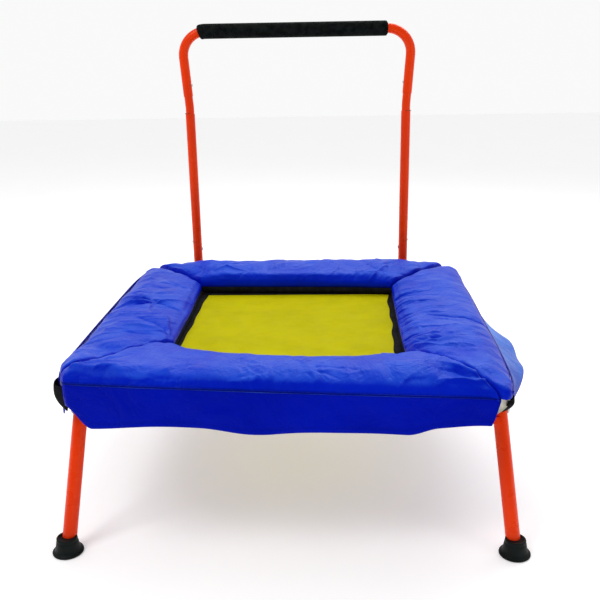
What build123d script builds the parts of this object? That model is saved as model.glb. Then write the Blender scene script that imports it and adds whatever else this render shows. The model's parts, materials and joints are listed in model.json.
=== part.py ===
from build123d import *
import os
from math import asin, degrees, hypot, radians, tan

# Square folding trampoline with a padded cover and a plug-in handle. Millimetres, +Z up, the user
# stands at -Y and holds the handle at +Y. While modelling, y = 0 is the fold line at the middle of
# the side tubes and z = 0 is the floor; save() moves every piece so that the origin is the middle
# of the whole object's footprint.
os.makedirs("parts", exist_ok=True)

SIDES = {"left": -1, "right": 1}
HALVES = {"rear": 1, "front": -1}

# Frame tube
TUBE_R = 12.7
TUBE_WALL = 1.5
TUBE_BORE_R = TUBE_R - TUBE_WALL
FRAME_HALF = 345
FRAME_Z = 280
CORNER_BEND_R = 50
TUBE_BOTTOM_Z = FRAME_Z - TUBE_R
FOLD_GAP = 3

# Folding joint: the pin lies just above the tubes, so the halves close with their tops together
FOLD_Z = 295.5
FOLD_PIN_R = 2.5
RUNNING_CLEARANCE = 0.05
FOLD_EAR_R = 5.5
FOLD_PLATE = 2
REAR_LEAF_OFFSET = TUBE_R + 0.5
FRONT_LEAF_OFFSET = REAR_LEAF_OFFSET + FOLD_PLATE + 0.4
SADDLE_SPAN = (8, 28)

# Legs: the pivot lies outboard of the frame tube and a little below it
PIVOT_X = 368
PIVOT_Y = 285
PIVOT_Z = 240
FOOT_X = 393
FOOT_Y = 356
LEG_ABOVE_PIVOT = 8
LEG_END_Z = 9
PIVOT_BOLT_R = 3
BRACKET_PLATE = 3
BRACKET_GAP = 0.4
KNOB_R = 13
KNOB_LENGTH = 18.5
KNOB_LOBES = 5

# Feet
FLANGE_R = 27.3
FLANGE_T = 3.5
NECK_R = 17.3
NECK_TOP_Z = 30

# Mat, its edge band, rings and springs
MAT_HALF = 210.7
MAT_T = 1.2
MAT_TOP_Z = 295
BAND_INNER = 211
BAND_OUTER = 237
BAND_T = 2.4
SPLIT_GAP = 0.15
SPRING_Z = 291
SPRING_R = 5.5
SPRING_WIRE_R = 1.1
SPRING_SPAN = (252, 318)
SPRING_HOLE_R = 1.6
SPRING_HOLE_Z = 287
END_SPRING_X = (40, 120, 200)
SIDE_SPRING_Y = (66, 132, 198)

# Padded cover
PAD_BOTTOM_Z = 301.5
PAD_TOP_Z = 323
PAD_INNER = 218
PAD_OUTER = 372
SKIRT_BOTTOM_Z = 245
SKIRT_T = 4
END_SKIRT_INNER = 366
SIDE_SKIRT_TOP_INNER = 370
SIDE_SKIRT_BOTTOM_INNER = 387
SIDE_SKIRT_HALF = 352

# Handle
POST_X = 259
POST_Y = 400
POST_R = 11.1
POST_BORE_R = 10.2
MALE_R = 10.05
MALE_BORE_R = 9.15
SOCKET_BOTTOM_Z = 200
SOCKET_TOP_Z = 384
INSERTION = 60
NECK_BOTTOM_Z = 699
BAR_BOTTOM_Z = 740
BAR_INSERTION = 50
FLARE_DEG = 4
FLARE_Z = 714
BAR_TOP_Z = 887
BAR_BEND_R = 55
GRIP_R = 17
GRIP_HALF = 221
GRIP_SHIFT = -8
GRIP_ON_BEND_DEG = 18
BUTTON_R = 3.9
BUTTON_HOLE_R = 4.2
BUTTON_PROUD = 2
LOWER_BUTTON_Z = 365
UPPER_BUTTON_Z = 766

# The footprint runs from the front feet to the backs of the handle sockets
ORIGIN_Y = (FOOT_Y + FLANGE_R - POST_Y - POST_R) / 2


def save(piece, name):
    """Label one finished piece, set it on the part's origin and write its STEP file."""
    piece.part.label = name
    piece.part.locate(Location((0, ORIGIN_Y, 0)))
    export_step(piece.part, f"parts/{name}.step")


def along_x(x, y, z):
    return Location((x, y, z), (0, 90, 0))


def along_y(x, y, z):
    return Location((x, y, z), (90, 0, 0))


# ---------------------------------------------------------------- frame tubes

def rail(half):
    """One U-shaped frame tube, with a punched hole for every mat spring."""
    with BuildPart() as tube:
        with BuildLine(Plane.XY.offset(FRAME_Z)) as path:
            FilletPolyline(
                (-FRAME_HALF, half * FOLD_GAP),
                (-FRAME_HALF, half * FRAME_HALF),
                (FRAME_HALF, half * FRAME_HALF),
                (FRAME_HALF, half * FOLD_GAP),
                radius=CORNER_BEND_R,
            )
        with BuildSketch(path.line ^ 0):
            Circle(TUBE_R)
            Circle(TUBE_BORE_R, mode=Mode.SUBTRACT)
        sweep()
        end_holes = [
            along_y(side * x, half * (FRAME_HALF - TUBE_R), SPRING_HOLE_Z)
            for x in END_SPRING_X
            for side in (-1, 1)
        ]
        side_holes = [
            along_x(side * (FRAME_HALF - TUBE_R), half * y, SPRING_HOLE_Z)
            for y in SIDE_SPRING_Y
            for side in (-1, 1)
        ]
        with Locations(*end_holes, *side_holes):
            Cylinder(SPRING_HOLE_R, 2 * TUBE_BORE_R, mode=Mode.SUBTRACT)
    return tube


def rail_plugs(half):
    """Moulded plugs that close the tube ends at the fold."""
    with BuildPart() as plugs:
        for side in (-1, 1):
            with BuildSketch(Plane.XZ.offset(-half * FOLD_GAP)):
                with Locations((side * FRAME_HALF, FRAME_Z)):
                    Circle(TUBE_BORE_R)
            extrude(amount=-half * 14)
    return plugs


# ---------------------------------------------------------------- folding joint

def hinge_leaves(half, offset):
    """A cradle welded under each tube end, with two ears that reach up to the fold pin."""
    near, far = SADDLE_SPAN
    with BuildPart() as leaves:
        for side in (-1, 1):
            x = side * FRAME_HALF
            with Locations((x, half * (near + far) / 2, FRAME_Z - 5.5)):
                Box(2 * (offset + FOLD_PLATE), far - near, 19)
            for cheek in (-1, 1):
                inner_face = x + cheek * (offset + FOLD_PLATE / 2)
                with BuildSketch(Plane.YZ.offset(inner_face)):
                    with Locations((0, FOLD_Z)):
                        Circle(FOLD_EAR_R)
                    with Locations((half * (near + far) / 2, FRAME_Z)):
                        Rectangle(far - near, 16)
                    make_hull()
                extrude(amount=FOLD_PLATE / 2, both=True)
            with Locations(along_y(x, half * far / 2, FRAME_Z)):
                Cylinder(TUBE_R, 2 * far, mode=Mode.SUBTRACT)
            with Locations(along_x(x, 0, FOLD_Z)):
                Cylinder(FOLD_PIN_R + RUNNING_CLEARANCE, 4 * TUBE_R, mode=Mode.SUBTRACT)
            with Locations((x, 0, FOLD_Z)):
                Box(2 * offset, 4 * FOLD_EAR_R, 4 * FOLD_EAR_R, mode=Mode.SUBTRACT)
    return leaves


def hinge_pins():
    """Fold pins with a head at each end."""
    reach = FRONT_LEAF_OFFSET + FOLD_PLATE + 0.3
    with BuildPart() as pins:
        for side in (-1, 1):
            x = side * FRAME_HALF
            with Locations(along_x(x, 0, FOLD_Z)):
                Cylinder(FOLD_PIN_R, 2 * reach)
            with Locations(along_x(x - reach - 1, 0, FOLD_Z), along_x(x + reach + 1, 0, FOLD_Z)):
                Cylinder(4.5, 2)
        fillet(pins.edges().filter_by(GeomType.CIRCLE).group_by(SortBy.RADIUS)[-1], 0.8)
    return pins


# ---------------------------------------------------------------- legs

LEG_DROP = PIVOT_Z
LEG_REACH = hypot(FOOT_X - PIVOT_X, FOOT_Y - PIVOT_Y, LEG_DROP)


def leg_direction(side, half):
    """Unit vector from a leg's pivot down to its foot."""
    step = Vector(side * (FOOT_X - PIVOT_X), half * (FOOT_Y - PIVOT_Y), -LEG_DROP)
    return step / LEG_REACH


def pivot_plane(side, half, lift=0):
    """Plane through the pivot, square to its bolt: Z points outboard, Y up, X along the side."""
    tilt = hypot(FOOT_X - PIVOT_X, LEG_DROP)
    outboard = Vector(side * LEG_DROP, 0, FOOT_X - PIVOT_X) / tilt
    pivot = Vector(side * PIVOT_X, half * PIVOT_Y, PIVOT_Z)
    return Plane(pivot + outboard * lift, x_dir=(0, side, 0), z_dir=outboard)


def leg(side, half):
    """Leg tube from just above its pivot to inside the foot, cross-drilled for the pivot bolt."""
    down = leg_direction(side, half)
    pivot = Vector(side * PIVOT_X, half * PIVOT_Y, PIVOT_Z)
    length = LEG_ABOVE_PIVOT + LEG_REACH * (1 - LEG_END_Z / PIVOT_Z)
    with BuildPart() as tube:
        with BuildSketch(Plane(pivot - down * LEG_ABOVE_PIVOT, z_dir=down)):
            Circle(TUBE_R)
            Circle(TUBE_BORE_R, mode=Mode.SUBTRACT)
        extrude(amount=length)
        with BuildSketch(pivot_plane(side, half)):
            Circle(PIVOT_BOLT_R + RUNNING_CLEARANCE)
        extrude(amount=2 * TUBE_R, both=True, mode=Mode.SUBTRACT)
    return tube


def foot(side, half):
    """Flared foot: a level base flange and a neck that follows the leg's slope."""
    down = leg_direction(side, half)
    ground = Vector(side * FOOT_X, half * FOOT_Y, 0)
    with BuildPart() as cap:
        with BuildSketch(Plane((ground.X, ground.Y, 0), x_dir=(1, 0, 0), z_dir=(0, -1, 0))):
            with BuildLine():
                Polyline((0, 0), (FLANGE_R, 0), (FLANGE_R, FLANGE_T), (21.5, FLANGE_T + 3.5))
                Line((21.5, FLANGE_T + 3.5), (18.5, 14))
                Line((18.5, 14), (0, 14))
                Line((0, 14), (0, 0))
            make_face()
        revolve(axis=Axis((ground.X, ground.Y, 0), (0, 0, 1)))
        with BuildSketch(Plane(ground - down * (NECK_TOP_Z / -down.Z), z_dir=down)):
            Circle(NECK_R)
        extrude(amount=(NECK_TOP_Z - 6) / -down.Z)
        with BuildSketch(Plane(ground - down * (LEG_END_Z / -down.Z), z_dir=-down)):
            Circle(TUBE_R)
        extrude(amount=2 * NECK_TOP_Z, mode=Mode.SUBTRACT)
        fillet(cap.edges().filter_by(GeomType.CIRCLE).group_by(SortBy.RADIUS)[-1], 1.2)
    return cap


def leg_brackets(half):
    """Plates welded under the frame tube, inboard of the legs, each with the tab a leg rests on."""
    inner_face = -(TUBE_R + BRACKET_GAP + BRACKET_PLATE)
    lean = degrees(asin((FOOT_Y - PIVOT_Y) / LEG_REACH))
    with BuildPart() as brackets:
        for side in (-1, 1):
            forward = side * half
            along_leg = Location((0, 0), forward * lean)
            tab_centre = (forward * (TUBE_R + 1.8), -14.5)
            with BuildSketch(pivot_plane(side, half, inner_face)):
                Circle(14)
                with Locations((-forward * 8, 32)):
                    Rectangle(34, 12)
                with Locations(along_leg), Locations(tab_centre):
                    Rectangle(3, 11)
                make_hull()
            extrude(amount=BRACKET_PLATE)
            with BuildSketch(pivot_plane(side, half, inner_face)):
                with Locations(along_leg), Locations(tab_centre):
                    Rectangle(3, 11)
            extrude(amount=TUBE_R)
            with Locations(along_y(side * FRAME_HALF, half * PIVOT_Y, FRAME_Z)):
                Cylinder(TUBE_R, 160, mode=Mode.SUBTRACT)
            with BuildSketch(pivot_plane(side, half)):
                Circle(PIVOT_BOLT_R + RUNNING_CLEARANCE)
            extrude(amount=-40, mode=Mode.SUBTRACT)
    return brackets


def pivot_bolts(half):
    """Domed bolts that carry the legs; each shank ends inside its knob."""
    with BuildPart() as bolts:
        for side in (-1, 1):
            with BuildSketch(pivot_plane(side, half, -31)):
                Circle(PIVOT_BOLT_R)
            extrude(amount=31 + TUBE_R + 0.4)
            with BuildSketch(pivot_plane(side, half, TUBE_R + 0.4)):
                Circle(6.5)
            extrude(amount=3.2, taper=30)
    return bolts


def leg_knob(side, half):
    """Lobed clamping knob on the inboard end of a pivot bolt."""
    outer_face = -(TUBE_R + BRACKET_GAP + BRACKET_PLATE + 0.4)
    with BuildPart() as knob:
        with BuildSketch(pivot_plane(side, half, outer_face)):
            Circle(KNOB_R - 2)
            with PolarLocations(KNOB_R - 4.5, KNOB_LOBES):
                Circle(4.5)
        extrude(amount=-KNOB_LENGTH)
        with BuildSketch(pivot_plane(side, half, outer_face)):
            Circle(PIVOT_BOLT_R + RUNNING_CLEARANCE)
        extrude(amount=-16, mode=Mode.SUBTRACT)
        fillet(knob.faces().sort_by(Axis.X)[0 if side > 0 else -1].edges(), 1)
    return knob


# ---------------------------------------------------------------- mat

def half_plate(half, outer, inner, bottom, thickness):
    """Half of a square plate, or of a square ring, cut off just short of the fold line."""
    with BuildPart() as plate:
        with BuildSketch(Plane.XY.offset(bottom)):
            Rectangle(2 * outer, 2 * outer)
            if inner:
                Rectangle(2 * inner, 2 * inner, mode=Mode.SUBTRACT)
            with Locations((0, half * (SPLIT_GAP - outer))):
                Rectangle(2 * outer + 2, 2 * outer, mode=Mode.SUBTRACT)
        extrude(amount=thickness)
    return plate


def spring_stations(half):
    """Places of one half's springs on the mat's edge, each with its outward direction."""
    ends = [((side * x, 0), (0, half)) for x in END_SPRING_X for side in (-1, 1)]
    sides = [((0, half * y), (side, 0)) for y in SIDE_SPRING_Y for side in (-1, 1)]
    return ends + sides


def spring_plane(station):
    """Upright plane through a spring: X runs outwards from the mat's centre line, Y up."""
    (x, y), (out_x, out_y) = station
    return Plane((x, y, 0), x_dir=(out_x, out_y, 0), z_dir=(out_y, -out_x, 0))


def mat_rings(half):
    """Triangular wire rings sewn into the mat's edge band."""
    start = BAND_OUTER + 0.2
    with BuildPart() as rings:
        for (x, y), (out_x, out_y) in spring_stations(half):
            place = Plane((x, y, MAT_TOP_Z - BAND_T / 2 - 1), x_dir=(out_x, out_y, 0))
            with BuildSketch(place):
                with BuildLine():
                    Polyline((start, -11), (start, 11), (start + 13, 0), close=True)
                make_face()
                with BuildLine():
                    Polyline((start + 2.2, -7), (start + 2.2, 7), (start + 10, 0), close=True)
                make_face(mode=Mode.SUBTRACT)
            extrude(amount=2)
    return rings


def mat_springs(half):
    """Closed outer shape of each coil spring, with the hooks at its two ends."""
    inner, outer = SPRING_SPAN
    ring_end = BAND_OUTER + 11
    rail_end = FRAME_HALF - 8
    with BuildPart() as springs:
        for station in spring_stations(half):
            with BuildSketch(spring_plane(station)):
                with BuildLine():
                    Polyline(
                        (inner, SPRING_Z),
                        (inner, SPRING_Z + SPRING_R),
                        (outer, SPRING_Z + SPRING_R),
                        (outer, SPRING_Z),
                        close=True,
                    )
                make_face()
            axis_at = spring_plane(station)
            revolve(axis=Axis(axis_at.from_local_coords(Vector(0, SPRING_Z, 0)), axis_at.x_dir))
            along = axis_at.x_dir
            start = axis_at.from_local_coords(Vector(ring_end, SPRING_Z, 0))
            with BuildSketch(Plane(start, z_dir=along)):
                Circle(SPRING_WIRE_R)
            extrude(amount=inner - ring_end + 1)
            bend = axis_at.from_local_coords(Vector(outer - 1, SPRING_Z, 0))
            hook = axis_at.from_local_coords(Vector(rail_end, SPRING_HOLE_Z, 0)) - bend
            with BuildSketch(Plane(bend, z_dir=hook.normalized())):
                Circle(SPRING_WIRE_R)
            extrude(amount=hook.length)
    return springs


# ---------------------------------------------------------------- padded cover

def end_pad(half):
    """Front or rear pad: a mitred foam slab with the cover's skirt hanging outside the tube."""
    mitre = SPLIT_GAP * 2
    with BuildPart() as pad:
        with BuildSketch(Plane.XY.offset(PAD_BOTTOM_Z)):
            with BuildLine():
                Polyline(
                    (-PAD_INNER + mitre, half * PAD_INNER),
                    (PAD_INNER - mitre, half * PAD_INNER),
                    (PAD_OUTER - mitre, half * PAD_OUTER),
                    (-PAD_OUTER + mitre, half * PAD_OUTER),
                    close=True,
                )
            make_face()
        extrude(amount=PAD_TOP_Z - PAD_BOTTOM_Z)
        fillet(pad.edges().filter_by(Axis.X).group_by(Axis.Z)[-1], 8)
        with BuildSketch(Plane.YZ):
            with BuildLine():
                Polyline(
                    (half * END_SKIRT_INNER, SKIRT_BOTTOM_Z),
                    (half * (END_SKIRT_INNER + SKIRT_T), SKIRT_BOTTOM_Z),
                    (half * PAD_OUTER, PAD_BOTTOM_Z + 4),
                    (half * (PAD_OUTER - SKIRT_T), PAD_BOTTOM_Z + 4),
                    close=True,
                )
            make_face()
        extrude(amount=PAD_OUTER - 12, both=True)
    return pad


def side_pad(side, half):
    """Half of a side pad, split at the fold; its skirt flares out over the leg tops."""
    mitre = SPLIT_GAP * 2
    with BuildPart() as pad:
        with BuildSketch(Plane.XY.offset(PAD_BOTTOM_Z)):
            with BuildLine():
                Polyline(
                    (side * PAD_INNER, half * SPLIT_GAP),
                    (side * PAD_OUTER, half * SPLIT_GAP),
                    (side * PAD_OUTER, half * (PAD_OUTER - mitre)),
                    (side * PAD_INNER, half * (PAD_INNER - mitre)),
                    close=True,
                )
            make_face()
        extrude(amount=PAD_TOP_Z - PAD_BOTTOM_Z)
        fillet(pad.edges().filter_by(Axis.Y).group_by(Axis.Z)[-1], 8)
        with BuildSketch(Plane.XZ.offset(-half * SPLIT_GAP)):
            with BuildLine():
                Polyline(
                    (side * SIDE_SKIRT_BOTTOM_INNER, SKIRT_BOTTOM_Z),
                    (side * (SIDE_SKIRT_BOTTOM_INNER + SKIRT_T), SKIRT_BOTTOM_Z),
                    (side * (PAD_OUTER + 1), PAD_BOTTOM_Z + 8),
                    (side * SIDE_SKIRT_TOP_INNER, PAD_BOTTOM_Z + 4),
                    (side * SIDE_SKIRT_TOP_INNER, PAD_BOTTOM_Z - 1),
                    close=True,
                )
            make_face()
        extrude(amount=-half * SIDE_SKIRT_HALF)
    return pad


def corner_gussets(half):
    """Dark cloth that joins the end skirt to the side skirt round each corner."""
    centre = END_SKIRT_INNER - 12
    with BuildPart() as gussets:
        for side in (-1, 1):
            with BuildSketch(Plane.XY.offset(SKIRT_BOTTOM_Z + 2)):
                with Locations((side * (centre + 7), half * centre)):
                    Circle(16)
                    Circle(13, mode=Mode.SUBTRACT)
                    with Locations((-side * 16, 0), (0, -half * 16)):
                        Rectangle(32, 32, mode=Mode.SUBTRACT)
            extrude(amount=PAD_BOTTOM_Z - SKIRT_BOTTOM_Z - 4)
    return gussets


# ---------------------------------------------------------------- handle

def handle_socket(side):
    """Upright socket tube on a gusset and a cradle, welded under the rear frame tube."""
    x = side * POST_X
    with BuildPart() as socket:
        with BuildSketch(Plane.YZ.offset(x)):
            with BuildLine():
                Polyline(
                    (FRAME_HALF - 13, 252),
                    (FRAME_HALF - 13, 272),
                    (FRAME_HALF + 12, 272),
                    (FRAME_HALF + 13, 242),
                    (POST_Y, 242),
                    (POST_Y, SOCKET_BOTTOM_Z + 8),
                    (POST_Y - 30, SOCKET_BOTTOM_Z + 8),
                    close=True,
                )
            make_face()
        extrude(amount=2, both=True)
        with Locations((x, FRAME_HALF, TUBE_BOTTOM_Z + 1.5)):
            Box(44, 24, 8)
        with Locations(along_x(x, FRAME_HALF, FRAME_Z)):
            Cylinder(TUBE_R, 80, mode=Mode.SUBTRACT)
        with BuildSketch(Plane.XY.offset(SOCKET_BOTTOM_Z)):
            with Locations((x, POST_Y)):
                Circle(POST_R)
        extrude(amount=SOCKET_TOP_Z - SOCKET_BOTTOM_Z)
        with BuildSketch(Plane.XY.offset(SOCKET_BOTTOM_Z - 1)):
            with Locations((x, POST_Y)):
                Circle(POST_BORE_R)
        extrude(amount=SOCKET_TOP_Z - SOCKET_BOTTOM_Z + 2, mode=Mode.SUBTRACT)
        with Locations(along_x(x - side * POST_R, POST_Y, LOWER_BUTTON_Z)):
            Cylinder(BUTTON_HOLE_R, POST_R, mode=Mode.SUBTRACT)
    return socket


def socket_plugs():
    """Plugs that close the sockets at the bottom."""
    with BuildPart() as plugs:
        for side in (-1, 1):
            with Locations((side * POST_X, POST_Y, SOCKET_BOTTOM_Z - 1)):
                Cylinder(POST_R, 2)
            with Locations((side * POST_X, POST_Y, SOCKET_BOTTOM_Z + 7)):
                Cylinder(POST_BORE_R, 14)
    return plugs


FLARE = radians(FLARE_DEG)


def flared_x(z):
    """Distance from the middle to the handle tube's centre line above its lower bend."""
    return POST_X + (z - FLARE_Z) * tan(FLARE)


def post(side):
    """Handle post: a reduced end in the socket, the full tube, and a reduced, bent neck."""
    x = side * POST_X
    top_z = BAR_BOTTOM_Z + BAR_INSERTION
    with BuildPart() as tube:
        with BuildSketch(Plane((x, POST_Y, SOCKET_TOP_Z - INSERTION))):
            Circle(MALE_R)
            Circle(MALE_BORE_R, mode=Mode.SUBTRACT)
        extrude(amount=INSERTION + 1)
        with BuildSketch(Plane((x, POST_Y, SOCKET_TOP_Z))):
            Circle(POST_R)
            Circle(MALE_BORE_R, mode=Mode.SUBTRACT)
        extrude(amount=NECK_BOTTOM_Z - SOCKET_TOP_Z)
        with BuildLine(Plane((0, POST_Y, 0), x_dir=(1, 0, 0), z_dir=(0, -1, 0))) as path:
            FilletPolyline(
                (x, NECK_BOTTOM_Z - 1), (x, FLARE_Z), (side * flared_x(top_z), top_z), radius=150
            )
        with BuildSketch(Plane((x, POST_Y, NECK_BOTTOM_Z - 1))):
            Circle(MALE_R)
            Circle(MALE_BORE_R, mode=Mode.SUBTRACT)
        sweep(path=path.line)
        holes = (
            along_x(x - side * MALE_R, POST_Y, LOWER_BUTTON_Z),
            along_x(side * (flared_x(UPPER_BUTTON_Z) - MALE_R), POST_Y, UPPER_BUTTON_Z),
        )
        with Locations(*holes):
            Cylinder(BUTTON_HOLE_R, MALE_R, mode=Mode.SUBTRACT)
    return tube


def top_bar():
    """Arched bar whose open ends slip over the necks of the posts."""
    corner_x = flared_x(BAR_TOP_Z)
    foot_x = flared_x(BAR_BOTTOM_Z)
    with BuildPart() as bar:
        with BuildLine(Plane((0, POST_Y, 0), x_dir=(1, 0, 0), z_dir=(0, -1, 0))) as path:
            FilletPolyline(
                (-foot_x, BAR_BOTTOM_Z),
                (-corner_x, BAR_TOP_Z),
                (corner_x, BAR_TOP_Z),
                (foot_x, BAR_BOTTOM_Z),
                radius=BAR_BEND_R,
            )
        with BuildSketch(path.line ^ 0):
            Circle(POST_R)
            Circle(POST_BORE_R, mode=Mode.SUBTRACT)
        sweep()
        for side in (-1, 1):
            x = side * (flared_x(UPPER_BUTTON_Z) - POST_R)
            with Locations(along_x(x, POST_Y, UPPER_BUTTON_Z)):
                Cylinder(BUTTON_HOLE_R, POST_R, mode=Mode.SUBTRACT)
    return bar


def foam_grip():
    """Foam sleeve on the bar; its left end reaches round the start of the bend."""
    bend_start = flared_x(BAR_TOP_Z) - BAR_BEND_R * tan(radians(90 - FLARE_DEG) / 2 + FLARE)
    with BuildPart() as grip:
        with BuildLine(Plane((0, POST_Y, 0), x_dir=(1, 0, 0), z_dir=(0, -1, 0))) as path:
            straight = Line((GRIP_HALF + GRIP_SHIFT, BAR_TOP_Z), (-bend_start, BAR_TOP_Z))
            JernArc(straight @ 1, (-1, 0), BAR_BEND_R, GRIP_ON_BEND_DEG)
        with BuildSketch(path.line ^ 0):
            Circle(GRIP_R)
            Circle(POST_R + RUNNING_CLEARANCE, mode=Mode.SUBTRACT)
        sweep()
    return grip


def button_centre(side, level):
    return side * (POST_X if level == "lower" else flared_x(UPPER_BUTTON_Z))


def snap_button(side, level):
    """Spring button: a flanged pin that points at the handle's middle through both tubes."""
    z = LOWER_BUTTON_Z if level == "lower" else UPPER_BUTTON_Z
    x = button_centre(side, level)
    inward = Plane((x, POST_Y, z), x_dir=(0, 1, 0), z_dir=(-side, 0, 0))
    with BuildPart() as button:
        with BuildSketch(inward.offset(6)):
            Circle(5.2)
        extrude(amount=1.2)
        with BuildSketch(inward.offset(6)):
            Circle(BUTTON_R)
        extrude(amount=POST_R + BUTTON_PROUD - 6)
        fillet(button.faces().sort_by(Axis.X)[-1 if side < 0 else 0].edges(), 1.5)
    return button


def button_clips():
    """Folded leaf clips inside the posts that push the buttons out."""
    with BuildPart() as clips:
        for side in (-1, 1):
            for level, z in (("lower", LOWER_BUTTON_Z), ("upper", UPPER_BUTTON_Z)):
                x = button_centre(side, level)
                lean = 0 if level == "lower" else tan(FLARE)
                with BuildSketch(Plane((x, POST_Y, z), x_dir=(-side, 0, 0), z_dir=(0, 1, 0))):
                    with BuildLine():
                        Polyline(
                            (7, -5.6), (3, -18), (-7.5 + 14 * lean, -5.6), (-8.3 + 14 * lean, -5.6),
                            (2.6, -19.6), (7.8, -5.6), close=True,
                        )
                    make_face()
                extrude(amount=3, both=True)
    return clips


# ---------------------------------------------------------------- all pieces

for half_name, half in HALVES.items():
    save(rail(half), f"{half_name}_rail")
    save(rail_plugs(half), f"{half_name}_rail_plugs")
    save(leg_brackets(half), f"{half_name}_leg_brackets")
    save(pivot_bolts(half), f"{half_name}_leg_pivot_bolts")
    save(end_pad(half), f"{half_name}_pad")
    save(corner_gussets(half), f"{half_name}_corner_gussets")
    save(half_plate(half, MAT_HALF, 0, MAT_TOP_Z - MAT_T, MAT_T), f"{half_name}_mat")
    band_bottom = MAT_TOP_Z - BAND_T + 0.4
    save(half_plate(half, BAND_OUTER, BAND_INNER, band_bottom, BAND_T), f"{half_name}_mat_band")
    save(mat_rings(half), f"{half_name}_mat_rings")
    save(mat_springs(half), f"{half_name}_mat_springs")
    for side_name, side in SIDES.items():
        save(side_pad(side, half), f"{side_name}_pad_{half_name}")
        save(leg(side, half), f"{half_name}_{side_name}_leg")
        save(foot(side, half), f"{half_name}_{side_name}_foot")
        save(leg_knob(side, half), f"{half_name}_{side_name}_knob")

save(hinge_leaves(HALVES["rear"], REAR_LEAF_OFFSET), "rear_hinge_leaves")
save(hinge_leaves(HALVES["front"], FRONT_LEAF_OFFSET), "front_hinge_leaves")
save(hinge_pins(), "hinge_pins")
save(socket_plugs(), "socket_plugs")
save(top_bar(), "top_bar")
save(foam_grip(), "foam_grip")
save(button_clips(), "button_clips")
for side_name, side in SIDES.items():
    save(handle_socket(side), f"{side_name}_handle_socket")
    save(post(side), f"{side_name}_post")
    for level in ("lower", "upper"):
        save(snap_button(side, level), f"{side_name}_{level}_button")
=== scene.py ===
"""Looks of the folding mini trampoline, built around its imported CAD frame. Metres, X right, Y back, Z up."""
import json
import math
import bmesh
import bpy
import numpy as np
from mathutils import Matrix, Vector


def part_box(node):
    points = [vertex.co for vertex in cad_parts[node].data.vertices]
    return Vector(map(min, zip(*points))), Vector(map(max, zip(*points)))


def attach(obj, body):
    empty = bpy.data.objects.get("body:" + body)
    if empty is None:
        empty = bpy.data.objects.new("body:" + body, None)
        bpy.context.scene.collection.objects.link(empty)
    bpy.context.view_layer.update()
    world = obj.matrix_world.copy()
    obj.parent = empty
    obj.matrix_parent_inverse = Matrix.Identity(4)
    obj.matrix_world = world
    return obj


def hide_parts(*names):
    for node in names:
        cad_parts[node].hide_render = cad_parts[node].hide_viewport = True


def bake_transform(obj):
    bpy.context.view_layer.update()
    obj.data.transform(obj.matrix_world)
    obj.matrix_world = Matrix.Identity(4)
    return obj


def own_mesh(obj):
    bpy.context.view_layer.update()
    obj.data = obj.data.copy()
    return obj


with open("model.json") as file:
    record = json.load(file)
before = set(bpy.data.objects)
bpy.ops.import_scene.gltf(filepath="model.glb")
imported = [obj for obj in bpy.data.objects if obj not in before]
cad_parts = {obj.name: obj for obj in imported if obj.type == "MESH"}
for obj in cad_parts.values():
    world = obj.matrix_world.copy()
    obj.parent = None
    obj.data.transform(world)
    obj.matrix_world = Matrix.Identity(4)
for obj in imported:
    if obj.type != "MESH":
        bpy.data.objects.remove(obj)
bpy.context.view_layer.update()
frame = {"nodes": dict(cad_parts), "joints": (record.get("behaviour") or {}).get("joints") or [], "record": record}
JOINTS = {j["name"]: j for j in frame["joints"]}
FOLD = Vector(JOINTS["frame_fold"]["pos_m"])

# Every shape below is laid out from the fold line (y = 0 there) and is shifted into the row frame when
# its mesh is made.
PAD_BASE = 0.300            # underside of the pads
PAD_STEP = 0.0055           # mesh pitch of the pads before their one subdivision
MAT_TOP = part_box("rear_mat")[1].z
MAT_EDGE = 0.2475           # outer edge of the black band
MAT_DEPTH = 0.2300          # from the fold to the far edge of the yellow sheet
BORDER_START = 0.2265       # where the black border starts to cover the yellow sheet
HEM = 0.245                 # lowest edge of the side and rear skirts
COVER_SLACK = 0.030         # share by which the cover's cloth is larger than its foam
COVER_REACH = 0.0035        # the most that the cloth simulation may move a point
SIM_STEPS = 20
FAN_BOOST = 1.4


# ---------------------------------------------------------------- numbers and meshes
def smooth(t):
    t = np.clip(t, 0.0, 1.0)
    return t * t * (3 - 2 * t)


def waves(x, y, scale, seed):
    """Smooth noise from -1 to 1 that changes over about `scale` metres."""
    lattice = np.random.default_rng(seed).uniform(-1, 1, (64, 64))
    gx, gy = x / scale, y / scale
    ix, iy = np.floor(gx).astype(int), np.floor(gy).astype(int)
    fx, fy = smooth(gx - ix), smooth(gy - iy)
    low = lattice[ix % 64, iy % 64] * (1 - fx) + lattice[(ix + 1) % 64, iy % 64] * fx
    high = lattice[ix % 64, (iy + 1) % 64] * (1 - fx) + lattice[(ix + 1) % 64, (iy + 1) % 64] * fx
    return low * (1 - fy) + high * fy


def fold_line(x, y, start, end, width):
    """A fold in the cloth: 1 near the line's start, fading to both sides and slowly to its end."""
    dx, dy = end[0] - start[0], end[1] - start[1]
    length = math.hypot(dx, dy)
    along = ((x - start[0]) * dx + (y - start[1]) * dy) / length**2
    across = ((x - start[0]) * dy - (y - start[1]) * dx) / length
    return np.exp(-np.abs(across) / width) * smooth(along / 0.12) * smooth((1 - along) / 0.6)


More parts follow.
